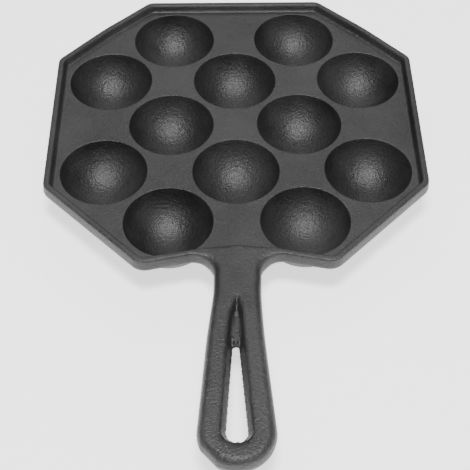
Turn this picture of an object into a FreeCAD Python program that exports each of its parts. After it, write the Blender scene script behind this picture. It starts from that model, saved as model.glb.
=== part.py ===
import FreeCAD, Part
import math
import os
import Sketcher

# Twelve-cup cast-iron pan with an octagonal plate, a raised kerb and a slotted handle.
# The real pan is one casting. The plate with its cups and the handle are modelled as
# two bodies that are joined, and each sub-part is one region of the joined casting, cut
# where the cups, the edge of the plate, the kerb and the stretches of the handle meet.
# The bodies are drawn with the plate's top at z = 0, its centre at x = y = 0 and the
# handle towards -Y. Everything is then lifted and shifted, so that the pan stands on
# z = 0 and the centre of its whole outline is the origin.

doc = FreeCAD.newDocument("cup_pan")

# Driving dimensions in millimetres and degrees
sheet = doc.addObject("Spreadsheet::Sheet", "sizes")
driving_sizes = [
    ("plate_width", 176.0),
    ("plate_length", 175.0),
    ("corner_cut", 44.0),
    ("corner_round", 6.0),
    ("plate_thickness", 3.0),
    ("kerb_height", 3.5),
    ("kerb_top_width", 3.0),
    ("kerb_slope", 25.0),
    ("kerb_edge_round", 1.2),
    ("under_edge_round", 0.8),
    ("near_side_sweep", 5.0),
    ("cup_pitch", 30.5),
    ("cup_radius", 20.3),
    ("cup_depth", 17.0),
    ("cup_wall", 2.6),
    ("cup_lip", 0.7),
    ("cup_root_flare", 1.8),
    ("cup_root_drop", 2.5),
    ("foot_flat", 0.3),
    ("root_stretch_width", 48.8),
    ("pad_width", 32.0),
    ("pad_reach", 9.8),
    ("pad_crown", 0.5),
    ("root_round", 6.0),
    ("neck_width", 20.4),
    ("neck_length", 14.0),
    ("handle_reach", 95.5),
    ("handle_width", 30.8),
    ("handle_thickness", 10.0),
    ("handle_end_round", 15.0),
    ("handle_edge_round", 2.8),
    ("groove_start", 17.5),
    ("groove_shoulder", 9.0),
    ("groove_tip_width", 0.4),
    ("groove_width", 5.6),
    ("groove_web", 1.5),
    ("slot_start", 40.0),
    ("slot_start_width", 2.6),
    ("slot_width", 8.8),
    ("slot_flare", 2.4),
    ("slot_end_wall", 11.5),
    ("slot_end_round", 4.0),
]
for row, (alias, value) in enumerate(driving_sizes, start=1):
    sheet.set(f"A{row}", alias)
    sheet.set(f"B{row}", str(value))
    sheet.setAlias(f"B{row}", alias)
doc.recompute()

# Places worked out from the driving dimensions, as expressions on the sheet
half_width = "sizes.plate_width / 2"
half_length = "sizes.plate_length / 2"
side_half_x = f"({half_width} - sizes.corner_cut)"
side_half_y = f"({half_length} - sizes.corner_cut)"
pad_half = "sizes.pad_width / 2"
near_y = f"(-{half_length} + sizes.near_side_sweep)"
sweep_slope = f"(sizes.near_side_sweep / ({side_half_x} - {pad_half}))"
cup_centre_z = "(sizes.cup_radius - sizes.cup_depth)"
cup_outer_radius = "(sizes.cup_radius + sizes.cup_wall)"
stand_height = "(sizes.cup_depth + sizes.cup_wall - sizes.foot_flat)"
outline_shift = "(sizes.handle_reach / 2)"
handle_bottom_z = "(sizes.kerb_height - sizes.handle_thickness)"
parting_z = "(sizes.kerb_height - sizes.handle_thickness / 2)"
handle_end_y = f"(-{half_length} - sizes.handle_reach)"
slot_end_y = f"({handle_end_y} + sizes.slot_end_wall)"


def bind(target, **expressions):
    """Ties sizes of an object to the sheet."""
    for name, expression in expressions.items():
        target.setExpression(name, expression)


def place(target, x="0", y="0", z="0"):
    """Ties the place of an object to the sheet, lifted and shifted to the pan's origin."""
    target.setExpression(".Placement.Base.x", x)
    target.setExpression(".Placement.Base.y", f"{y} + {outline_shift}")
    target.setExpression(".Placement.Base.z", f"{z} + {stand_height}")


def new_body(name):
    body = doc.addObject("PartDesign::Body", name)
    place(body)
    return body


def origin_feature(body, role):
    """One of a body's own base planes or axes."""
    return [feature for feature in body.Origin.OriginFeatures if feature.Role == role][0]


def polygon_sketch(body, name, corners, height):
    """A closed outline parallel to the plate, each corner tied to the sheet."""
    sketch = body.newObject("Sketcher::SketchObject", name)
    sketch.AttachmentSupport = [(origin_feature(body, "XY_Plane"), "")]
    sketch.MapMode = "FlatFace"
    sketch.setExpression(".AttachmentOffset.Base.z", height)
    # The solver moves these starting corners, spread round a circle, to their places
    count = len(corners)
    start_radius = 50.0
    start = []
    for index in range(count):
        turn = 2 * math.pi * index / count
        start.append(FreeCAD.Vector(start_radius * math.cos(turn), start_radius * math.sin(turn), 0))
    for index in range(count):
        sketch.addGeometry(Part.LineSegment(start[index], start[(index + 1) % count]), False)
    for index in range(count):
        sketch.addConstraint(Sketcher.Constraint("Coincident", index, 2, (index + 1) % count, 1))
    for index, (x, y) in enumerate(corners):
        along = sketch.addConstraint(Sketcher.Constraint("DistanceX", -1, 1, index, 1, start[index].x))
        sketch.setExpression(f"Constraints[{along}]", x)
        across = sketch.addConstraint(Sketcher.Constraint("DistanceY", -1, 1, index, 1, start[index].y))
        sketch.setExpression(f"Constraints[{across}]", y)
    return sketch


def mirrored(right_side):
    """The corners of a right half, from far to near, closed by their mirror images."""
    left_side = [(f"-({x})", y) for x, y in reversed(right_side) if x != "0"]
    return right_side + left_side


def fillet(body, name, base, radius, wanted):
    """A fillet on every edge of the base feature that the test picks."""
    doc.recompute()
    picked = [f"Edge{n}" for n, edge in enumerate(base.Shape.Edges, start=1) if wanted(edge)]
    rounding = body.newObject("PartDesign::Fillet", name)
    rounding.Base = (base, picked)
    rounding.setExpression("Radius", radius)
    doc.recompute()
    return rounding


def is_upright(edge):
    """Whether an edge is straight and parallel to z."""
    along = edge.Vertexes[0].Point - edge.Vertexes[-1].Point
    return along.Length > 0 and along.cross(FreeCAD.Vector(0, 0, 1)).Length < 1e-6


def lies_at(edge, height):
    """Whether an edge lies flat at a height."""
    return abs(edge.BoundBox.ZMin - height) < 1e-6 and abs(edge.BoundBox.ZMax - height) < 1e-6


def meets_handle(edge):
    """Whether an edge of the plate is the one that the handle joins."""
    return abs(edge.BoundBox.XMax - edge.BoundBox.XMin - sheet.pad_width) < 1e-6


# Plate body, first the octagon as high as the kerb, its near side swept to the handle
plate = new_body("plate_body")
outline = polygon_sketch(plate, "outline_sketch", mirrored([
    (side_half_x, half_length),
    (half_width, side_half_y),
    (half_width, f"-{side_half_y}"),
    (side_half_x, f"-{half_length}"),
    (pad_half, near_y),
]), "-sizes.plate_thickness")
blank = plate.newObject("PartDesign::Pad", "plate_blank")
blank.Profile = outline
bind(blank, Length="sizes.plate_thickness + sizes.kerb_height")
rounded = fillet(plate, "corner_rounds", blank, "sizes.corner_round", lambda edge: (
    is_upright(edge) and abs(edge.Vertexes[0].X) > sheet.pad_width / 2 + 0.01))
kerb_edge = fillet(plate, "kerb_edge", rounded, "sizes.kerb_edge_round", lambda edge: (
    lies_at(edge, sheet.kerb_height) and not meets_handle(edge)))
fillet(plate, "under_edge", kerb_edge, "sizes.under_edge_round", lambda edge: (
    lies_at(edge, -sheet.plate_thickness) and not meets_handle(edge)))

# The tray inside the kerb, its wall one kerb width inside the outline, with a sloped
# foot, and with a crowned pad left standing where the handle joins
side_shift = "(sizes.kerb_top_width * (sqrt(2) - 1))"
sweep_stretch = f"sqrt(1 + {sweep_slope}^2)"
near_shift = f"(sizes.kerb_top_width * (sqrt(2) - {sweep_stretch}) / (1 + {sweep_slope}))"
tray_near_x = f"({side_half_x} - {near_shift})"
tray_near_y = f"(-{half_length} + sizes.kerb_top_width * sqrt(2) - {near_shift})"
tray_pad_y = f"({near_y} + sizes.kerb_top_width * {sweep_stretch})"
tray_outline = polygon_sketch(plate, "tray_sketch", mirrored([
    (f"{side_half_x} - {side_shift}", f"{half_length} - sizes.kerb_top_width"),
    (f"{half_width} - sizes.kerb_top_width", f"{side_half_y} - {side_shift}"),
    (f"{half_width} - sizes.kerb_top_width", f"-({side_half_y} - {side_shift})"),
    (tray_near_x, tray_near_y),
    (pad_half, tray_pad_y),
    (f"{pad_half} / 2", f"-{half_length} + sizes.pad_reach - sizes.pad_crown"),
]), "sizes.kerb_height")
tray = plate.newObject("PartDesign::Pocket", "tray")
tray.Profile = tray_outline
bind(tray, Length="sizes.kerb_height", TaperAngle="-sizes.kerb_slope")
doc.recompute()

# The cups stand in two grids that interleave, one three by two and one two by three
mouth_radius = f"sqrt(sizes.cup_radius^2 - {cup_centre_z}^2)"
root_z = "(-sizes.plate_thickness - sizes.cup_root_drop)"
root_radius = f"sqrt({cup_outer_radius}^2 - ({root_z} - {cup_centre_z})^2)"
under_radius = f"sqrt({cup_outer_radius}^2 - (sizes.plate_thickness + {cup_centre_z})^2)"
grids = [
    ("wide", "-2 * sizes.cup_pitch", 3, "-sizes.cup_pitch", 2),
    ("long", "-sizes.cup_pitch", 2, "-2 * sizes.cup_pitch", 3),
]


def cup_feature(kind, name, x, y, z, **expressions):
    """A round form of the first cup of a grid, on the cup's own upright axis."""
    feature = plate.newObject(kind, name)
    feature.AttachmentSupport = [(origin_feature(plate, "XY_Plane"), "")]
    feature.MapMode = "FlatFace"
    feature.setExpression(".AttachmentOffset.Base.x", x)
    feature.setExpression(".AttachmentOffset.Base.y", y)
    feature.setExpression(".AttachmentOffset.Base.z", z)
    bind(feature, **expressions)
    return feature


def repeat_on_grid(name, originals, columns, rows):
    """The forms of one cup repeated along x and y, two cup pitches apart."""
    grid = plate.newObject("PartDesign::MultiTransform", name)
    steps = []
    for axis, count in (("X_Axis", columns), ("Y_Axis", rows)):
        step = plate.newObject("PartDesign::LinearPattern", f"{name}_{axis[0].lower()}")
        step.Direction = (origin_feature(plate, axis), [""])
        step.Occurrences = count
        bind(step, Length=f"{2 * (count - 1)} * sizes.cup_pitch")
        steps.append(step)
    grid.Originals = originals
    grid.Transformations = steps
    plate.Tip = grid
    doc.recompute()
    return grid


for name, x, columns, y, rows in grids:
    bowl = cup_feature(
        "PartDesign::AdditiveSphere", f"{name}_bowl", x, y, cup_centre_z,
        Radius=cup_outer_radius,
        Angle1=f"-asin(({cup_outer_radius} - sizes.foot_flat) / {cup_outer_radius})",
        Angle2=f"-asin((sizes.plate_thickness / 2 + {cup_centre_z}) / {cup_outer_radius})")
    root = cup_feature(
        "PartDesign::AdditiveCone", f"{name}_root", x, y, root_z,
        Radius1=root_radius, Radius2=f"{under_radius} + sizes.cup_root_flare",
        Height="sizes.cup_root_drop + sizes.plate_thickness / 4")
    repeat_on_grid(f"{name}_bowls", [bowl, root], columns, rows)
for name, x, columns, y, rows in grids:
    hollow = cup_feature(
        "PartDesign::SubtractiveSphere", f"{name}_hollow", x, y, cup_centre_z,
        Radius="sizes.cup_radius", Angle1="-90", Angle2=f"-asin({cup_centre_z} / sizes.cup_radius)")
    lip = cup_feature(
        "PartDesign::SubtractiveCone", f"{name}_lip", x, y, "-sizes.cup_lip",
        Radius1=f"{mouth_radius} - sizes.cup_lip / 2", Radius2=f"{mouth_radius} + sizes.cup_lip",
        Height="sizes.cup_lip")
    mouth = cup_feature(
        "PartDesign::SubtractiveCylinder", f"{name}_mouth", x, y, "0",
        Radius=f"{mouth_radius} + sizes.cup_lip", Height="2 * sizes.kerb_height")
    repeat_on_grid(f"{name}_hollows", [hollow, lip, mouth], columns, rows)

# Handle body: a bar that flares at its root and widens to a rounded end
handle = new_body("handle_body")
handle_outline = polygon_sketch(handle, "handle_sketch", mirrored([
    (pad_half, tray_pad_y),
    (pad_half, near_y),
    ("sizes.neck_width / 2", f"{near_y} - sizes.root_round"),
    ("sizes.neck_width / 2", f"-{half_length} - sizes.neck_length"),
    ("sizes.handle_width / 2", f"{handle_end_y} + sizes.handle_end_round"),
    ("sizes.handle_width / 2", handle_end_y),
]), handle_bottom_z)
bar = handle.newObject("PartDesign::Pad", "handle_bar")
bar.Profile = handle_outline
bind(bar, Length="sizes.handle_thickness")
end_y_now = -sheet.plate_length / 2 - sheet.handle_reach
near_y_now = -sheet.plate_length / 2 + sheet.near_side_sweep


def is_inner_end(edge):
    """Whether an edge of the bar lies inside the plate."""
    return edge.BoundBox.YMin > near_y_now + 0.5


end_round = fillet(handle, "end_corners", bar, "sizes.handle_end_round", lambda edge: (
    is_upright(edge) and abs(edge.Vertexes[0].Y - end_y_now) < 1e-6))
root_round = fillet(handle, "root_corners", end_round, "sizes.root_round / 2", lambda edge: (
    is_upright(edge) and near_y_now - sheet.root_round - 0.1 < edge.Vertexes[0].Y < near_y_now + 0.1))
fillet(handle, "handle_edges", root_round, "sizes.handle_edge_round", lambda edge: (
    not is_upright(edge) and not is_inner_end(edge)))

# The slot: a groove pressed into the top and bottom of the bar, which leaves a thin web
# at mid height near the neck, and a slot right through the rest
groove_start_y = f"(-{half_length} - sizes.groove_start)"
shoulder_y = f"({groove_start_y} - sizes.groove_shoulder)"
slot_start_y = f"(-{half_length} - sizes.slot_start)"
slot_half = "(sizes.slot_width / 2)"
slot_round_y = f"({slot_end_y} + sizes.slot_end_round)"
for side, face_z, floor_z in (
    ("top", "sizes.kerb_height", f"{parting_z} + sizes.groove_web / 2"),
    ("under", handle_bottom_z, f"{parting_z} - sizes.groove_web / 2"),
):
    wide = polygon_sketch(handle, f"{side}_groove_face", mirrored([
        ("sizes.groove_tip_width / 2", groove_start_y),
        ("sizes.groove_width / 2", shoulder_y),
        (f"{slot_half} + sizes.slot_flare", slot_round_y),
        (f"{slot_half} / 2 + sizes.slot_flare / 2", f"{slot_end_y} - sizes.slot_flare"),
    ]), face_z)
    narrow = polygon_sketch(handle, f"{side}_groove_floor", mirrored([
        ("sizes.groove_tip_width / 4", f"{groove_start_y} - sizes.slot_flare"),
        ("sizes.groove_width / 2 - sizes.slot_flare", shoulder_y),
        (slot_half, slot_round_y),
        (f"{slot_half} / 2", slot_end_y),
    ]), floor_z)
    groove = handle.newObject("PartDesign::SubtractiveLoft", f"{side}_groove")
    groove.Profile = wide
    groove.Sections = [narrow]
    groove.Ruled = True
    doc.recompute()
slot_outline = polygon_sketch(handle, "slot_sketch", mirrored([
    ("sizes.slot_start_width / 2", slot_start_y),
    (slot_half, slot_round_y),
    (f"{slot_half} / 2", slot_end_y),
]), "sizes.kerb_height")
slot = handle.newObject("PartDesign::Pocket", "slot")
slot.Profile = slot_outline
bind(slot, Length="sizes.handle_thickness")
doc.recompute()

# The joined casting, and the regions of it that are the sub-parts
casting = doc.addObject("Part::Fuse", "casting")
casting.Base = plate
casting.Tool = handle
doc.recompute()

# Heights and reaches that take in the whole casting
low_z = f"(-{stand_height} - 1)"
high_z = "(sizes.kerb_height + 1)"
far_y = f"({half_length} + 1)"
end_y = f"({handle_end_y} - 1)"
side_x = f"({half_width} + 1)"
root_y = f"(-{half_length} + sizes.pad_reach + sizes.kerb_height)"
neck_y = f"({near_y} - sizes.root_round)"
root_half = "(sizes.root_stretch_width / 2)"


def box(name, x_low, x_high, y_low, y_high, z_low, z_high):
    """An upright box between six places."""
    region = doc.addObject("Part::Box", name)
    bind(region, Length=f"{x_high} - {x_low}", Width=f"{y_high} - {y_low}", Height=f"{z_high} - {z_low}")
    place(region, x_low, y_low, z_low)
    return region


def share(label, source, region, kept_clear=()):
    """One sub-part: what a region holds of the casting, clear of other regions."""
    piece = doc.addObject("Part::Common", f"{label}_share")
    piece.Base = source
    piece.Tool = region
    for index, other in enumerate(kept_clear):
        rest = doc.addObject("Part::Cut", f"{label}_rest_{index}")
        rest.Base = piece
        rest.Tool = other
        piece = rest
    piece.Label = label
    return piece


parts = []
cup_places = {
    "far_left": (-1, 2), "far_right": (1, 2),
    "second_left": (-2, 1), "second_middle": (0, 1), "second_right": (2, 1),
    "middle_left": (-1, 0), "middle_right": (1, 0),
    "fourth_left": (-2, -1), "fourth_middle": (0, -1), "fourth_right": (2, -1),
    "near_left": (-1, -2), "near_right": (1, -2),
}
cells = []
for place_name, (column, row) in cup_places.items():
    cell = doc.addObject("Part::Box", f"cell_{place_name}")
    bind(cell, Length="sqrt(2) * sizes.cup_pitch", Width="sqrt(2) * sizes.cup_pitch",
         Height=f"-{low_z}")
    cell.Placement.Rotation = FreeCAD.Rotation(FreeCAD.Vector(0, 0, 1), 45)
    place(cell, f"{column} * sizes.cup_pitch", f"{row - 1} * sizes.cup_pitch", low_z)
    cells.append(cell)
    parts.append(share(f"cup_{place_name}", plate, cell))
all_cells = doc.addObject("Part::MultiFuse", "all_cells")
all_cells.Shapes = cells

pitch = "sizes.cup_pitch"
root_box = box("root_box", f"-{root_half}", root_half, neck_y, root_y, low_z, high_z)
parts.append(share("handle_root", casting, root_box, [all_cells]))

# The edge of the plate outside the cups' cells, in eight stretches
plate_stretches = {
    "far": (f"-{pitch}", pitch, f"2 * {pitch}", far_y),
    "left": (f"-{side_x}", f"-2 * {pitch}", f"-{pitch}", pitch),
    "right": (f"2 * {pitch}", side_x, f"-{pitch}", pitch),
    "near": (f"-{pitch}", pitch, f"-{far_y}", f"-2 * {pitch}"),
    "far_left": (f"-{side_x}", f"-{pitch}", pitch, far_y),
    "far_right": (pitch, side_x, pitch, far_y),
    "near_left": (f"-{side_x}", f"-{pitch}", f"-{far_y}", f"-{pitch}"),
    "near_right": (pitch, side_x, f"-{far_y}", f"-{pitch}"),
}
for side, (x_low, x_high, y_low, y_high) in plate_stretches.items():
    region = box(f"plate_{side}_box", x_low, x_high, y_low, y_high, low_z, "0")
    kept_clear = [all_cells, root_box] if side == "near" else [all_cells]
    parts.append(share(f"plate_{side}", plate, region, kept_clear))

# The kerb above the plate, one stretch for each side of the octagon, the near side in two
kerb_stretches = {
    "far": (f"-{side_half_x}", side_half_x, "0", far_y),
    "left": (f"-{side_x}", "0", f"-{side_half_y}", side_half_y),
    "right": ("0", side_x, f"-{side_half_y}", side_half_y),
    "far_left": (f"-{side_x}", f"-{side_half_x}", side_half_y, far_y),
    "far_right": (side_half_x, side_x, side_half_y, far_y),
    "near_left": (f"-{side_x}", f"-{side_half_x}", f"-{far_y}", f"-{side_half_y}"),
    "near_right": (side_half_x, side_x, f"-{far_y}", f"-{side_half_y}"),
    "front_left": (f"-{side_half_x}", f"-{root_half}", f"-{far_y}", "0"),
    "front_right": (root_half, side_half_x, f"-{far_y}", "0"),
}
for side, (x_low, x_high, y_low, y_high) in kerb_stretches.items():
    region = box(f"kerb_{side}_box", x_low, x_high, y_low, y_high, "0", high_z)
    parts.append(share(f"kerb_{side}", plate, region))

# The handle beyond its root: the neck, the two bars beside the slot, and the end
handle_stretches = {
    "neck": (f"-{side_x}", side_x, slot_start_y, neck_y),
    "left_bar": (f"-{side_x}", "0", slot_round_y, slot_start_y),
    "right_bar": ("0", side_x, slot_round_y, slot_start_y),
    "end": (f"-{side_x}", side_x, end_y, slot_round_y),
}
for stretch, (x_low, x_high, y_low, y_high) in handle_stretches.items():
    region = box(f"handle_{stretch}_box", x_low, x_high, y_low, y_high, low_z, high_z)
    parts.append(share(f"handle_{stretch}", handle, region))
doc.recompute()

# Nothing is written unless every feature and every sub-part is sound
for feature in doc.Objects:
    if "Invalid" in feature.State or "Error" in feature.State:
        raise RuntimeError(f"{feature.Name} is not sound: {feature.State}")
for piece in parts:
    if piece.Shape.isNull() or not piece.Shape.isValid() or len(piece.Shape.Solids) != 1:
        raise RuntimeError(f"{piece.Label} is not one sound solid")
shared_volume = sum(piece.Shape.Volume for piece in parts)
print(f"casting {casting.Shape.Volume:.1f} mm3, its {len(parts)} regions {shared_volume:.1f} mm3")
print("whole box", [round(value, 2) for value in (
    casting.Shape.BoundBox.XLength, casting.Shape.BoundBox.YLength, casting.Shape.BoundBox.ZLength)])

os.makedirs("parts", exist_ok=True)
for piece in parts:
    piece.Shape.exportStep(f"parts/{piece.Label}.step")
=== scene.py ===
import math

import bmesh
import bpy
import numpy as np
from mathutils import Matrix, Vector, geometry


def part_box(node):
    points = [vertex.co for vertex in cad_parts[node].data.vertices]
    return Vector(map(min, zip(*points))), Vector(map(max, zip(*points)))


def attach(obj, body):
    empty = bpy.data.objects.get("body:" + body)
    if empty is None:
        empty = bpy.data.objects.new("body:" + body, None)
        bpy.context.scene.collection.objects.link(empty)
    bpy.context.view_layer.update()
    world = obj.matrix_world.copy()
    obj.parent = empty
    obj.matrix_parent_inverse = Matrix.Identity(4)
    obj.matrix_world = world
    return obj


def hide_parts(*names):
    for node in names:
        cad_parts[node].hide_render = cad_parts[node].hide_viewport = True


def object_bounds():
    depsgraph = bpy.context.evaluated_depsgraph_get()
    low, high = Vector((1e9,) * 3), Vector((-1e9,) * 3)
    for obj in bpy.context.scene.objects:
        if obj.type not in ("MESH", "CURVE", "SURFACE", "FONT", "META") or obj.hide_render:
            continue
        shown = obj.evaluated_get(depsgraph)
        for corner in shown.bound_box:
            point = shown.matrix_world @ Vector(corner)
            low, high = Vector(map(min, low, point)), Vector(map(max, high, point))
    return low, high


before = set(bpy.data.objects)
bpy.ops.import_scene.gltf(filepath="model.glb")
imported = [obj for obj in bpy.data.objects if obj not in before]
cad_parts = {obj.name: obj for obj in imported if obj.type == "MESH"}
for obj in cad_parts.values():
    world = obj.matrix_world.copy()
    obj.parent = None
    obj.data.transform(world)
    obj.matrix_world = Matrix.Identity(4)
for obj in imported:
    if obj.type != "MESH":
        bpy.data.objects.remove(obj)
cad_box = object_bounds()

# The parting line: the pan is one iron casting from a two-part sand mould, and its
# outline, where the halves meet, is the widest line all round the plate and the handle.
# Lengths are in millimetres from the plate's centre and top, the handle towards -Y.
MM = 0.001
PLATE_HALF_X = 88.0
PLATE_HALF_Y = 87.5
CORNER_CUT = 44.0
CORNER_ROUND = 6.5
SIDE_HALF_X = PLATE_HALF_X - CORNER_CUT
SIDE_HALF_Y = PLATE_HALF_Y - CORNER_CUT
NEAR_TRIM = 1.4
FAR_BOW = 0.8
NECK_HALF = 10.2
NEAR_SWEEP_END = -80.6
ROOT_ROUND = 9.0
NECK_END = -101.5
HANDLE_END = -183.0
GRIP_HALF = 17.0
GRIP_END_ROUND = 15.3
NECK_SIDE_ROUND = 60.0
FAR_BOW_ROUND = 150.0
NEAR_CORNER_ROUND = 8.0
OUTLINE_STEP = 1.4
CLOSEST_POINTS = 0.25

# The frame says where the plate stands: its far edge, and its top above the table
plate_far_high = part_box("plate_far")[1]
SHIFT_Y = cad_box[1][1] / MM - PLATE_HALF_Y
PLATE_TOP = plate_far_high[2] / MM


def rounded_outline(corners, step):
    """A closed line through corners (x, y, radius), each rounded by an arc, anticlockwise."""
    points = []
    count = len(corners)
    for index, (x, y, radius) in enumerate(corners):
        here = np.array([x, y])
        before = np.array(corners[index - 1][:2]) - here
        after = np.array(corners[(index + 1) % count][:2]) - here
        before /= np.linalg.norm(before)
        after /= np.linalg.norm(after)
        half = math.acos(max(-1.0, min(1.0, float(before @ after)))) / 2
        reach = radius / math.tan(half)
        centre = here + (before + after) / np.linalg.norm(before + after) * radius / math.sin(half)
        start = here + before * reach - centre
        turn = math.pi - 2 * half
        sign = math.copysign(1.0, float(-before[0] * after[1] + before[1] * after[0]))
        steps = max(2, int(math.ceil(radius * turn / (0.5 * step))))
        for k in range(steps + 1):
            angle = sign * turn * k / steps
            c, s = math.cos(angle), math.sin(angle)
            points.append(centre + np.array([c * start[0] - s * start[1], s * start[0] + c * start[1]]))
    line = []
    for first, second in zip(points, points[1:] + points[:1]):
        pieces = max(1, int(round(np.linalg.norm(second - first) / step)))
        line.extend(first + (second - first) * k / pieces for k in range(pieces))
    return np.array(line)


def both_sides(right_side):
    """Corners of the right half, from near to far, and their mirror images back again."""
    return right_side + [(-x, y, radius) for x, y, radius in reversed(right_side)]


casting_outline = rounded_outline(both_sides([
    (GRIP_HALF, HANDLE_END, GRIP_END_ROUND),
    (NECK_HALF, NECK_END, NECK_SIDE_ROUND),
    (NECK_HALF, NEAR_SWEEP_END, ROOT_ROUND),
    (SIDE_HALF_X - NEAR_TRIM, -PLATE_HALF_Y, NEAR_CORNER_ROUND),
    (PLATE_HALF_X, -SIDE_HALF_Y + NEAR_TRIM, CORNER_ROUND),
    (PLATE_HALF_X, SIDE_HALF_Y, CORNER_ROUND),
    (PLATE_HALF_X - CORNER_CUT / 2 + FAR_BOW, PLATE_HALF_Y - CORNER_CUT / 2 + FAR_BOW, FAR_BOW_ROUND),
    (SIDE_HALF_X, PLATE_HALF_Y, CORNER_ROUND),
]), OUTLINE_STEP)

# The stub of the feed that filled the mould is ground flat on the left of the handle's end
FACET_START = np.array([-15.2, -172.8])
FACET_END = np.array([-9.0, -179.9])
along = FACET_END - FACET_START
facet_out = np.array([along[1], -along[0]]) / np.linalg.norm(along)
proud = np.maximum(0.0, (casting_outline - FACET_START) @ facet_out)
casting_outline -= proud[:, None] * facet_out
gap_before = np.linalg.norm(casting_outline - np.roll(casting_outline, 1, axis=0), axis=1)
casting_outline = casting_outline[gap_before > CLOSEST_POINTS]


def distance_inside(points, outline):
    """How far points lie inside a closed line, negative outside it."""
    first = outline
    edge = np.roll(outline, -1, axis=0) - first
    length2 = (edge ** 2).sum(1)
    result = np.empty(len(points))
    for start in range(0, len(points), 2000):
        part = points[start:start + 2000]
        offset = part[:, None, :] - first[None]
        share = np.clip((offset * edge[None]).sum(2) / length2, 0, 1)
        gap = np.sqrt(((offset - share[..., None] * edge[None]) ** 2).sum(2)).min(1)
        ends = first + edge
        crosses = (first[None, :, 1] <= part[:, None, 1]) != (ends[None, :, 1] <= part[:, None, 1])
        slope = edge[:, 0] / np.where(edge[:, 1] == 0, 1e-9, edge[:, 1])
        crossing = first[None, :, 0] + (part[:, None, 1] - first[None, :, 1]) * slope[None, :]
        inside = (crosses & (part[:, None, 0] < crossing)).sum(1) % 2 == 1
        result[start:start + 2000] = np.where(inside, gap, -gap)
    return result


def ease(share):
    """A smooth step from 0 to 1."""
    share = np.clip(share, 0, 1)
    return share * share * (3 - 2 * share)


def soft_min(a, b, blend):
    gap = np.clip(blend - np.abs(a - b), 0, None)
    return np.minimum(a, b) - gap * gap / (4 * blend)


def soft_max(a, b, blend):
    return -soft_min(-a, -b, blend)


# The iron: black seasoned cast iron with a fine sand grain all over, nearly dull, with
# patches where the burnt-in oil gives it a little more sheen.
iron = bpy.data.materials.new("cast_iron_seasoned")
iron.use_nodes = True
nodes = iron.node_tree.nodes
links = iron.node_tree.links
shader = nodes["Principled BSDF"]


def shader_node(kind, **values):
    node = nodes.new(kind)
    for name, value in values.items():
        node.inputs[name.replace("_", " ")].default_value = value
    return node


where = nodes.new("ShaderNodeTexCoord").outputs["Object"]


def noise(scale, detail, roughness):
    """Noise in the object's own metres; the scale is in cells per metre."""
    node = shader_node("ShaderNodeTexNoise", Scale=scale, Detail=detail, Roughness=roughness)
    links.new(where, node.inputs["Vector"])
    return node.outputs["Fac"]


def ramp(value, low, high, out_low, out_high):
    node = shader_node("ShaderNodeMapRange", From_Min=low, From_Max=high, To_Min=out_low, To_Max=out_high)
    links.new(value, node.inputs["Value"])
    return node.outputs["Result"]


def shader_math(operation, first, second):
    node = nodes.new("ShaderNodeMath")
    node.operation = operation
    for index, value in enumerate((first, second)):
        if isinstance(value, (int, float)):
            node.inputs[index].default_value = value
        else:
            links.new(value, node.inputs[index])
    return node.outputs[0]


sand = noise(1350.0, 3.0, 0.65)
pits = noise(700.0, 2.0, 0.5)
swell = noise(150.0, 2.0, 0.5)
patches = noise(34.0, 4.0, 0.6)
tone = shader_node("ShaderNodeMix")
tone.data_type = "RGBA"
tone.inputs[6].default_value = (0.005, 0.005, 0.0053, 1.0)
tone.inputs[7].default_value = (0.021, 0.021, 0.0218, 1.0)
worn = shader_math("ADD", patches, shader_math("MULTIPLY", sand, 0.6))
links.new(ramp(worn, 0.6, 1.0, 0.0, 1.0), tone.inputs[0])
links.new(tone.outputs[2], shader.inputs["Base Color"])
links.new(ramp(shader_math("ADD", sand, patches), 0.75, 1.25, 0.34, 0.52), shader.inputs["Roughness"])
shader.inputs["Specular IOR Level"].default_value = 0.5
relief = shader_math("ADD", shader_math("MULTIPLY", sand, 0.5), shader_math("MULTIPLY", pits, 0.5))
relief = shader_math("ADD", relief, shader_math("MULTIPLY", swell, 0.3))
grain = shader_node("ShaderNodeBump", Strength=1.0, Distance=0.0005)
links.new(relief, grain.inputs["Height"])
links.new(grain.outputs["Normal"], shader.inputs["Normal"])


# The cups: twelve hemispherical hollows in rows of two and three, each with a round lip,
# cast in one with the plate, and each a bowl below it that ends in a small standing flat.
CUP_PITCH = 30.5
CUP_RADIUS = 20.3
CUP_DEPTH = 17.0
CUP_WALL = 2.6
CUP_LIP = 0.4
FOOT_FLAT = 0.3
CUP_SIDES = 80
LIP_RINGS = 5
HOLLOW_RINGS = 15
BOWL_RINGS = 14
BOWL_REACH = 21.2
SEAM = 0.01
cup_centre_z = CUP_RADIUS - CUP_DEPTH
lip_centre_r = math.sqrt((CUP_RADIUS + CUP_LIP) ** 2 - (cup_centre_z + CUP_LIP) ** 2)
lip_turn = math.asin(lip_centre_r / (CUP_RADIUS + CUP_LIP))
cup_places = [(CUP_PITCH * i, CUP_PITCH * j) for i in (-2, 0, 2) for j in (-1, 1)]
cup_places += [(CUP_PITCH * i, CUP_PITCH * j) for i in (-1, 1) for j in (-2, 0, 2)]


def math_node(tree, operation, first, second=0.0):
    """One math node; its inputs are sockets or numbers."""
    node = tree.nodes.new("ShaderNodeMath")
    node.operation = operation
    for index, value in enumerate((first, second)):
        if isinstance(value, (int, float)):
            node.inputs[index].default_value = value
        else:
            tree.links.new(value, node.inputs[index])
    return node.outputs[0]


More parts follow.
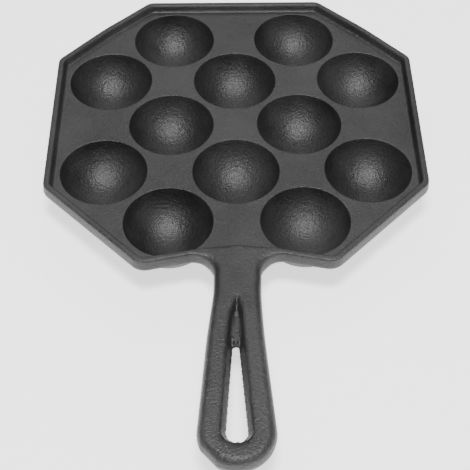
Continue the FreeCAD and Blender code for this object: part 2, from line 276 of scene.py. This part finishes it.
def cup_tree(name, radius, centre_z, turn_end, lip, floor_z, rings, lip_rings, outwards):
    """Round skins turned on an upright axis, one at every cup's place, and the tree's sizes."""
    tree = bpy.data.node_groups.new(name, "GeometryNodeTree")
    tree.interface.new_socket("Geometry", in_out="OUTPUT", socket_type="NodeSocketGeometry")
    named = {"Radius": radius, "Centre height": centre_z, "Turn": turn_end,
             "Lip radius": lip, "Lowest": floor_z, "Pitch": CUP_PITCH}
    sizes = {}
    for label, value in named.items():
        socket = tree.interface.new_socket(label, in_out="INPUT", socket_type="NodeSocketFloat")
        sizes[socket.identifier] = value
    inputs = tree.nodes.new("NodeGroupInput").outputs
    grid = tree.nodes.new("GeometryNodeMeshGrid")
    grid.inputs["Size X"].default_value = 1.0
    grid.inputs["Size Y"].default_value = 1.0
    grid.inputs["Vertices X"].default_value = rings + lip_rings + 1
    grid.inputs["Vertices Y"].default_value = CUP_SIDES + 1
    place = tree.nodes.new("GeometryNodeInputPosition")
    split = tree.nodes.new("ShaderNodeSeparateXYZ")
    tree.links.new(place.outputs[0], split.inputs[0])
    ring = math_node(tree, "MULTIPLY", math_node(tree, "ADD", split.outputs[0], 0.5), rings + lip_rings)
    angle = math_node(tree, "MULTIPLY", math_node(tree, "ADD", split.outputs[1], 0.5), 2 * math.pi)
    if not outwards:
        angle = math_node(tree, "MULTIPLY", angle, -1.0)
    bowl_turn = math_node(tree, "MULTIPLY", math_node(
        tree, "MINIMUM", math_node(tree, "DIVIDE", ring, rings), 1.0), inputs["Turn"])
    bowl_r = math_node(tree, "MULTIPLY", math_node(tree, "SINE", bowl_turn), inputs["Radius"])
    bowl_z = math_node(tree, "SUBTRACT", inputs["Centre height"], math_node(
        tree, "MULTIPLY", math_node(tree, "COSINE", bowl_turn), inputs["Radius"]))
    bowl_z = math_node(tree, "MAXIMUM", bowl_z, inputs["Lowest"])
    if lip_rings:
        # The lip turns from the cup's wall to the plate's flat, round its own centre
        share = math_node(tree, "MAXIMUM", math_node(
            tree, "DIVIDE", math_node(tree, "SUBTRACT", ring, rings), lip_rings), 0.0)
        left = math_node(tree, "MULTIPLY", math_node(tree, "SUBTRACT", 1.0, share), inputs["Turn"])
        arm = math_node(tree, "ADD", inputs["Radius"], inputs["Lip radius"])
        lip_r = math_node(tree, "SUBTRACT", math_node(
            tree, "MULTIPLY", math_node(tree, "SINE", inputs["Turn"]), arm), math_node(
            tree, "MULTIPLY", math_node(tree, "SINE", left), inputs["Lip radius"]))
        lip_z = math_node(tree, "MULTIPLY", math_node(
            tree, "SUBTRACT", math_node(tree, "COSINE", left), 1.0), inputs["Lip radius"])
        on_lip = math_node(tree, "GREATER_THAN", ring, rings + 0.5)
        for_bowl = math_node(tree, "SUBTRACT", 1.0, on_lip)
        bowl_r = math_node(tree, "ADD", math_node(tree, "MULTIPLY", bowl_r, for_bowl),
                           math_node(tree, "MULTIPLY", lip_r, on_lip))
        bowl_z = math_node(tree, "ADD", math_node(tree, "MULTIPLY", bowl_z, for_bowl),
                           math_node(tree, "MULTIPLY", lip_z, on_lip))
    joined = tree.nodes.new("ShaderNodeCombineXYZ")
    tree.links.new(math_node(tree, "MULTIPLY", bowl_r, math_node(tree, "COSINE", angle)), joined.inputs[0])
    tree.links.new(math_node(tree, "MULTIPLY", bowl_r, math_node(tree, "SINE", angle)), joined.inputs[1])
    tree.links.new(bowl_z, joined.inputs[2])
    bent = tree.nodes.new("GeometryNodeSetPosition")
    tree.links.new(grid.outputs["Mesh"], bent.inputs["Geometry"])
    tree.links.new(joined.outputs[0], bent.inputs["Position"])
    closed = tree.nodes.new("GeometryNodeMergeByDistance")
    closed.inputs["Distance"].default_value = SEAM
    tree.links.new(bent.outputs[0], closed.inputs["Geometry"])
    spots = tree.nodes.new("GeometryNodeJoinGeometry")
    for columns, rows in ((3, 2), (2, 3)):
        lattice = tree.nodes.new("GeometryNodeMeshGrid")
        for axis, places in (("Size X", columns), ("Size Y", rows)):
            span = math_node(tree, "MULTIPLY", inputs["Pitch"], 2.0 * (places - 1))
            tree.links.new(span, lattice.inputs[axis])
        lattice.inputs["Vertices X"].default_value = columns
        lattice.inputs["Vertices Y"].default_value = rows
        tree.links.new(lattice.outputs["Mesh"], spots.inputs[0])
    copies = tree.nodes.new("GeometryNodeInstanceOnPoints")
    tree.links.new(spots.outputs[0], copies.inputs["Points"])
    tree.links.new(closed.outputs[0], copies.inputs["Instance"])
    real = tree.nodes.new("GeometryNodeRealizeInstances")
    tree.links.new(copies.outputs[0], real.inputs[0])
    paint = tree.nodes.new("GeometryNodeSetMaterial")
    paint.inputs["Material"].default_value = iron
    tree.links.new(real.outputs[0], paint.inputs["Geometry"])
    outputs = tree.nodes.new("NodeGroupOutput")
    tree.links.new(paint.outputs[0], outputs.inputs[0])
    return tree, sizes


def grown(name, tree, sizes):
    """The plain mesh that a tree makes with its sizes, as points and faces."""
    carrier = bpy.data.objects.new(name, bpy.data.meshes.new(name))
    bpy.context.scene.collection.objects.link(carrier)
    modifier = carrier.modifiers.new("grown", "NODES")
    modifier.node_group = tree
    for identifier, value in sizes.items():
        modifier[identifier] = value
    graph = bpy.context.evaluated_depsgraph_get()
    mesh = bpy.data.meshes.new_from_object(carrier.evaluated_get(graph))
    points = np.array([vertex.co[:] for vertex in mesh.vertices])
    faces = [tuple(face.vertices) for face in mesh.polygons]
    carrier.modifiers.remove(modifier)
    bpy.data.objects.remove(carrier)
    return points, faces


# The hollows are round to the bottom, so their lowest height is set below it
BELOW_HOLLOW = -CUP_DEPTH - 1.0
hollow_points, hollow_faces = grown("cup_hollows", *cup_tree(
    "cup_hollow", CUP_RADIUS, cup_centre_z, lip_turn, CUP_LIP, BELOW_HOLLOW,
    HOLLOW_RINGS, LIP_RINGS, False))
outer_radius = CUP_RADIUS + CUP_WALL
bowl_points, bowl_faces = grown("cup_bowls", *cup_tree(
    "cup_bowl", outer_radius, cup_centre_z, math.asin(BOWL_REACH / outer_radius), 0.0,
    -CUP_DEPTH - CUP_WALL + FOOT_FLAT, BOWL_RINGS, 0, True))

# The upper half of the casting: the flat plate inside a rounded kerb, whose inner side
# runs down in a soft slope, and the handle's crowned top with the sunk slot.
PARTING_Z = -1.5
KERB_HEIGHT = 3.5
KERB_EDGE = 0.9
KERB_DRAFT = 0.3
KERB_FOOT = 1.7
KERB_RUN = 2.2
KERB_OVER = 0.6
KERB_BLEND = 0.5
TRAY_CORNER_ROUND = 4.0
HANDLE_CROWN = 3.5
HANDLE_DRAFT = 0.25
SLOT_SLOPE = 2.08
SLOT_BLEND = 0.7
HOLE_SLOPE = 3.0
MOUTH_STEP = 0.9
HOLE_STEP = 0.55
WEB_TOP = -0.75
RIDGE_RISE = 1.5
RIDGE_HALF = 1.3
RIDGE_RUN = 0.9
ON_LINE = 1e-4
tray_outline = rounded_outline(both_sides([
    (0.4, -77.6, 1.0),
    (17.0, -79.4, 12.0),
    (43.2 - NEAR_TRIM, -84.3, TRAY_CORNER_ROUND),
    (85.0, -42.3 + NEAR_TRIM, TRAY_CORNER_ROUND),
    (85.0, 42.3, TRAY_CORNER_ROUND),
    (63.9 + FAR_BOW, 63.4 + FAR_BOW, 145.0),
    (42.8, 84.5, TRAY_CORNER_ROUND),
]), OUTLINE_STEP)

slot_mouth = rounded_outline(both_sides([
    (6.9, -174.2, 6.2),
    (2.9, -113.5, 9.0),
    (0.3, -104.6, 0.25),
]), MOUTH_STEP)
slot_hole = rounded_outline(both_sides([
    (4.6, -171.4, 4.2),
    (1.25, -127.4, 1.1),
]), HOLE_STEP)

# A thin fin of iron, torn off unevenly, is left all round the slot at the parting line
fin_turn = np.cumsum(np.linalg.norm(slot_hole - np.roll(slot_hole, 1, axis=0), axis=1))
fin_reach = 0.16 * np.sin(3.1 * fin_turn) * np.sin(1.27 * fin_turn + 0.6) + 0.10 * np.sin(7.9 * fin_turn)
middle_line = np.column_stack([np.zeros(len(slot_hole)), slot_hole[:, 1] * 0.9 - 15.0])
to_middle = middle_line - slot_hole
slot_hole = slot_hole + to_middle / np.linalg.norm(to_middle, axis=1)[:, None] * fin_reach[:, None]


def edge_profile(depth_in, top, crown, wall):
    """Height above the parting line by distance from the outline: a drafted wall, then an arc."""
    start = top - PARTING_Z - crown
    arc = np.sqrt(np.clip(crown ** 2 - (wall + crown - np.minimum(depth_in, wall + crown)) ** 2, 0, None))
    return np.where(depth_in < wall, start * depth_in / wall, start + arc)


ROOT_START = -79.0
ROOT_RUN = 8.0
ROOT_HALF = 12.0
ROOT_SIDE_RUN = 7.0
NECK_START = -86.5
NECK_RUN = 3.0


def handle_share(points):
    """How far a place belongs to the handle: 0 on the plate, 1 beyond the root."""
    x, y = points[:, 0], points[:, 1]
    at_root = ease((ROOT_START - y) / ROOT_RUN) * (1 - ease((np.abs(x) - ROOT_HALF) / ROOT_SIDE_RUN))
    return np.maximum(at_root, ease((NECK_START - y) / NECK_RUN))


# The iron that ran together at the near end of the web is left as rough lumps, each
# given by its place, its reach and its rise
NO_LUMP = -5.0
WEB_LUMPS = [(-0.9, -119.6, 1.5, 1.5), (0.9, -121.6, 1.4, 1.3), (-0.3, -124.4, 1.3, 0.9)]


def web_lumps(points):
    height = np.full(len(points), NO_LUMP)
    for x, y, reach, rise in WEB_LUMPS:
        share = 1 - ((points[:, 0] - x) ** 2 + (points[:, 1] - y) ** 2) / reach ** 2
        lump = WEB_TOP + rise * np.sqrt(np.clip(share, 0, 1))
        height = np.maximum(height, np.where(share > 0, lump, NO_LUMP))
    return height


def upper_height(points):
    """Height of the casting's top over a place inside the outline."""
    inside = distance_inside(points, casting_outline)
    from_tray = -distance_inside(points, tray_outline)
    share = handle_share(points)
    wall = edge_profile(inside, KERB_HEIGHT, KERB_EDGE, KERB_DRAFT) * (1 - share)
    wall = wall + edge_profile(inside, KERB_HEIGHT, HANDLE_CROWN, HANDLE_DRAFT) * share + PARTING_Z
    kerb = (KERB_HEIGHT + KERB_OVER) * ease((from_tray + KERB_FOOT) / KERB_RUN)
    height = soft_min(wall, kerb, KERB_BLEND)
    in_slot = distance_inside(points, slot_mouth)
    ridge = WEB_TOP + RIDGE_RISE * ease((RIDGE_HALF - np.abs(points[:, 0])) / RIDGE_RUN)
    web = np.maximum(ridge, web_lumps(points))
    sunk = np.maximum(KERB_HEIGHT - SLOT_SLOPE * in_slot, web)
    from_hole = -distance_inside(points, slot_hole)
    sunk = np.minimum(sunk, PARTING_Z + HOLE_SLOPE * np.maximum(from_hole, 0))
    height = soft_min(height, sunk, SLOT_BLEND)
    return np.where((inside < ON_LINE) | (from_hole < ON_LINE), PARTING_Z, height)


# The underside: the plate's flat, the handle's lower crown with the same sunk slot, and
# the roots of the twelve bowls, given as depths below the parting line.
PLATE_DEPTH = 1.5
PLATE_UNDER_EDGE = 0.8
PLATE_UNDER_DRAFT = 0.15
HANDLE_DEPTH = 5.0
WEB_DEPTH = 0.75
BOWL_EDGE_R = 22.3
BOWL_EDGE_FALL = 4.3
BOWL_BLEND = 1.6
BOWL_WALL_FALL = 6.0


def lower_height(points):
    """Height of the casting's underside over a place inside the outline."""
    inside = distance_inside(points, casting_outline)
    share = handle_share(points)
    plate = edge_profile(inside, PARTING_Z + PLATE_DEPTH, PLATE_UNDER_EDGE, PLATE_UNDER_DRAFT)
    grip = edge_profile(inside, PARTING_Z + HANDLE_DEPTH, HANDLE_CROWN, HANDLE_DRAFT)
    in_slot = distance_inside(points, slot_mouth)
    from_hole = -distance_inside(points, slot_hole)
    sunk = np.maximum(HANDLE_DEPTH - SLOT_SLOPE * in_slot, WEB_DEPTH)
    sunk = np.minimum(sunk, HOLE_SLOPE * np.maximum(from_hole, 0))
    grip = soft_min(grip, sunk, SLOT_BLEND)
    depth = plate * (1 - share) + grip * share
    for x, y in cup_places:
        r = np.hypot(points[:, 0] - x, points[:, 1] - y)
        bowl = np.sqrt(outer_radius ** 2 - np.minimum(r, BOWL_EDGE_R) ** 2) - cup_centre_z + PARTING_Z
        bowl = bowl - BOWL_EDGE_FALL * np.clip(r - BOWL_EDGE_R, 0, None)
        depth = soft_max(depth, np.minimum(bowl, BOWL_WALL_FALL * inside), BOWL_BLEND)
    return PARTING_Z - np.where((inside < ON_LINE) | (from_hole < ON_LINE), 0.0, depth)


# The two halves' skins follow rings along every line, and an even spread between them
SLIVER = 0.002
SLOT_RINGS = (0.12, 0.3, 0.7, 1.2, 1.8, 2.4)
MOUTH_RINGS = (0.25, 0.9, 1.6)
TRAY_RINGS = (-0.5, 0.0, 0.5, 1.0, 1.5, 2.1)
RINGS_CLEAR = 0.45
SLOT_CLEAR = 0.3
HOLE_CLEAR = 0.15
SPREAD_CLEAR = 1.0
SPREAD_HOLE_CLEAR = 0.6
CIRCLE_CLEAR = 0.35
OUTLINE_CLEAR = 0.05
PLATE_SPACING = 2.4
HANDLE_SPACING = 1.5
KERB_ROOT_HALF = 22.0
KERB_ROOT_START = -70.0


def inset_rings(outline, distances, check):
    """Copies of a closed line moved inwards, without the places that run into each other."""
    ahead = np.roll(outline, -1, axis=0) - np.roll(outline, 1, axis=0)
    inward = np.stack([-ahead[:, 1], ahead[:, 0]], axis=1) / np.linalg.norm(ahead, axis=1)[:, None]
    kept = []
    for distance in distances:
        ring = outline + inward * distance
        kept.append(ring[np.abs(check(ring) - distance) < 0.04 * distance + 0.01])
    return np.vstack(kept)


def lattice(spacing, x_half, y_low, y_high):
    rows = np.arange(y_low, y_high, spacing * 0.866)
    columns = np.arange(-x_half, x_half, spacing)
    return np.array([(x + spacing * 0.5 * (k % 2), y) for k, y in enumerate(rows) for x in columns])


def spread(fixed, loose, gap):
    """The loose points that stand clear of the fixed ones."""
    far = np.ones(len(loose), bool)
    for start in range(0, len(loose), 500):
        part = loose[start:start + 500]
        far[start:start + 500] = ((part[:, None] - fixed[None]) ** 2).sum(2).min(1) > gap * gap
    return loose[far]


def half_mesh(distances, circles, circle_reach, height):
    """One mould half's skin, filled between the outline, the slot and the cups' circles."""
    loops = [casting_outline, slot_hole] + circles
    fixed = np.vstack(loops)
    edges = []
    start = 0
    for loop in loops:
        edges += [(start + k, start + (k + 1) % len(loop)) for k in range(len(loop))]
        start += len(loop)

    rings = inset_rings(casting_outline, distances,
                        lambda points: distance_inside(points, casting_outline))
    slot_rings = inset_rings(slot_hole[::-1], SLOT_RINGS,
                             lambda points: -distance_inside(points, slot_hole))
    mouth_rings = inset_rings(slot_mouth, MOUTH_RINGS,
                              lambda points: distance_inside(points, slot_mouth))
    mouth_rings = np.vstack([mouth_rings, slot_mouth])
    mouth_rings = mouth_rings[-distance_inside(mouth_rings, slot_hole) > HOLE_CLEAR]
    tray_rings = inset_rings(tray_outline, TRAY_RINGS,
                             lambda points: distance_inside(points, tray_outline))
    near_root = (np.abs(tray_rings[:, 0]) < KERB_ROOT_HALF) & (tray_rings[:, 1] < KERB_ROOT_START)
    loose = np.vstack([rings, spread(rings, slot_rings, SLOT_CLEAR)])
    loose = np.vstack([loose, spread(loose, tray_rings[near_root], RINGS_CLEAR)])
    loose = np.vstack([loose, spread(loose, mouth_rings, RINGS_CLEAR)])
    inner = np.vstack([lattice(PLATE_SPACING, 88.0, -86.0, 88.0),
                       lattice(HANDLE_SPACING, 17.0, -184.0, -76.0)])
    inner = inner[distance_inside(inner, casting_outline) > distances[-1] * 0.6]
    inner = inner[-distance_inside(inner, slot_hole) > SPREAD_HOLE_CLEAR]
    loose = np.vstack([loose, spread(loose, inner, SPREAD_CLEAR)])
    clear = np.ones(len(loose), bool)
    for x, y in cup_places:
        clear &= np.hypot(loose[:, 0] - x, loose[:, 1] - y) > circle_reach + CIRCLE_CLEAR
    loose = loose[clear & (distance_inside(loose, casting_outline) > OUTLINE_CLEAR)]
    flat = np.vstack([fixed, loose])
    # Triangles whose middle lies on a line itself are slivers, and are left out
    points, _, faces, _, _, _ = geometry.delaunay_2d_cdt(
        [Vector(point) for point in flat], edges, [], 0, 1e-5)
    points = np.array([point[:] for point in points])
    faces = np.array(faces)
    middle = points[faces].mean(1)
    keep = distance_inside(middle, casting_outline) > SLIVER
    keep &= distance_inside(middle, slot_hole) < -SLIVER
    for x, y in cup_places:
        keep &= np.hypot(middle[:, 0] - x, middle[:, 1] - y) > circle_reach - 0.01
    return np.column_stack([points, height(points)]), faces[keep]


def circles_at(reach):
    turn = 2 * math.pi * np.arange(CUP_SIDES) / CUP_SIDES
    return [np.column_stack([x + reach * np.cos(turn), y + reach * np.sin(turn)]) for x, y in cup_places]


TOP_RINGS = (0.1, 0.2, 0.3, 0.5, 0.8, 1.2, 1.7, 2.3, 2.7, 3.1, 3.5, 3.9, 4.3, 4.8, 5.5)
UNDER_RINGS = (0.08, 0.15, 0.3, 0.6, 0.95, 1.5, 2.2, 3.0, 3.8)
top_points, top_faces = half_mesh(TOP_RINGS, circles_at(lip_centre_r), lip_centre_r, upper_height)
under_points, under_faces = half_mesh(UNDER_RINGS, circles_at(BOWL_REACH), BOWL_REACH, lower_height)


def near_cup(points):
    """Each point's distance from the axis of the nearest cup."""
    places = np.array(cup_places)
    gap = np.sqrt(((points[:, None, :2] - places[None]) ** 2).sum(2))
    return gap.min(1)


# The lips of the cups that reach the kerb's foot climb onto it with the plate
CLIMB_RUN = 2.4
climb = ease((near_cup(hollow_points) - lip_centre_r + CLIMB_RUN) / CLIMB_RUN)
lip_zone = climb > 0
hollow_points[lip_zone, 2] += upper_height(hollow_points[lip_zone, :2]) * climb[lip_zone]

# The rims of the bowls take the height of the underside that they run into
BOWL_RIM = 0.4
at_bowl_rim = near_cup(bowl_points) > BOWL_REACH - BOWL_RIM
bowl_points[at_bowl_rim, 2] = lower_height(bowl_points[at_bowl_rim, :2])

# The two halves, the hollows and the bowls closed to one skin
all_points = []
all_faces = []
for points, faces, flipped in (
    (top_points, [tuple(face) for face in top_faces], False),
    (hollow_points, hollow_faces, False),
    (under_points, [tuple(face) for face in under_faces], True),
    (bowl_points, bowl_faces, False),
):
    start = len(all_points)
    all_points.extend(points)
    all_faces.extend(tuple(start + k for k in (face[::-1] if flipped else face)) for face in faces)
all_points = np.array(all_points)

# The handle leans a little to the left of the plate's middle line
HANDLE_LEAN = 1.2
LEAN_START = -88.0
LEAN_RUN = 40.0
all_points[:, 0] -= HANDLE_LEAN * ease((LEAN_START - all_points[:, 1]) / LEAN_RUN)
all_points[:, 1] += SHIFT_Y
all_points[:, 2] += PLATE_TOP
mesh = bpy.data.meshes.new("casting")
mesh.from_pydata((all_points * MM).tolist(), [], all_faces)

WELD = 0.006
form = bmesh.new()
form.from_mesh(mesh)
bmesh.ops.remove_doubles(form, verts=form.verts[:], dist=WELD * MM)
# Where three points of the outline lie in line, one half may leave a sliver open
bmesh.ops.holes_fill(form, edges=[edge for edge in form.edges if edge.is_boundary], sides=4)
if not all(edge.is_manifold for edge in form.edges):
    raise RuntimeError("the casting's skin is not closed")
bmesh.ops.recalc_face_normals(form, faces=form.faces[:])
form.to_mesh(mesh)
form.free()
mesh.polygons.foreach_set("use_smooth", [True] * len(mesh.polygons))
casting = bpy.data.objects.new("casting", mesh)
bpy.context.scene.collection.objects.link(casting)

# The finished casting: one piece of iron with one finish all over, nothing fixed to it. It
# stands for every region of the solids.
mesh.materials.append(iron)
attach(casting, "root")
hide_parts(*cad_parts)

# The setting: a plain pale sheet, soft light from above, behind, the right and the front,
# and the camera at the photograph's angle.
bpy.ops.mesh.primitive_plane_add(size=6.0, location=(0, 0, 0))
floor = bpy.context.object
floor.name = "floor"
paper = bpy.data.materials.new("pale_paper")
paper.use_nodes = True
sheet = paper.node_tree.nodes["Principled BSDF"].inputs
sheet["Base Color"].default_value = (0.86, 0.86, 0.86, 1.0)
sheet["Roughness"].default_value = 0.9
sheet["Emission Color"].default_value = (1, 1, 1, 1)
sheet["Emission Strength"].default_value = 1.3
floor.data.materials.append(paper)


def soft_light(name, place, aim, width, height, power):
    data = bpy.data.lights.new(name, "AREA")
    data.shape = "RECTANGLE"
    data.size = width
    data.size_y = height
    data.energy = power
    lamp = bpy.data.objects.new(name, data)
    lamp.location = place
    lamp.rotation_euler = (Vector(aim) - Vector(place)).to_track_quat("-Z", "Y").to_euler()
    bpy.context.scene.collection.objects.link(lamp)


soft_light("overhead", (0.0, -0.22, 1.0), (0, 0, 0), 0.28, 0.22, 15.0)
soft_light("back", (0.0, 0.9, 0.8), (0, 0, 0), 1.0, 0.4, 4.0)
soft_light("right", (0.9, -0.3, 0.35), (0, 0, 0), 0.5, 0.3, 1.2)
soft_light("front", (0.0, -0.85, 0.85), (0, 0, 0), 0.5, 0.12, 3.5)
world = bpy.data.worlds.new("studio")
world.use_nodes = True
world.node_tree.nodes["Background"].inputs["Color"].default_value = (1, 1, 1, 1)
world.node_tree.nodes["Background"].inputs["Strength"].default_value = 0.36
bpy.context.scene.world = world

lens = bpy.data.cameras.new("photo_camera")
lens.lens = 87.05
lens.sensor_width = 36.0
camera = bpy.data.objects.new("photo_camera", lens)
camera.location = (-0.00439, -0.34056, 0.40288)
aim = Vector((-0.0009, -0.02135, 0.0193)) - camera.location
camera.rotation_euler = aim.to_track_quat("-Z", "Y").to_euler()
bpy.context.scene.collection.objects.link(camera)
bpy.context.scene.camera = camera
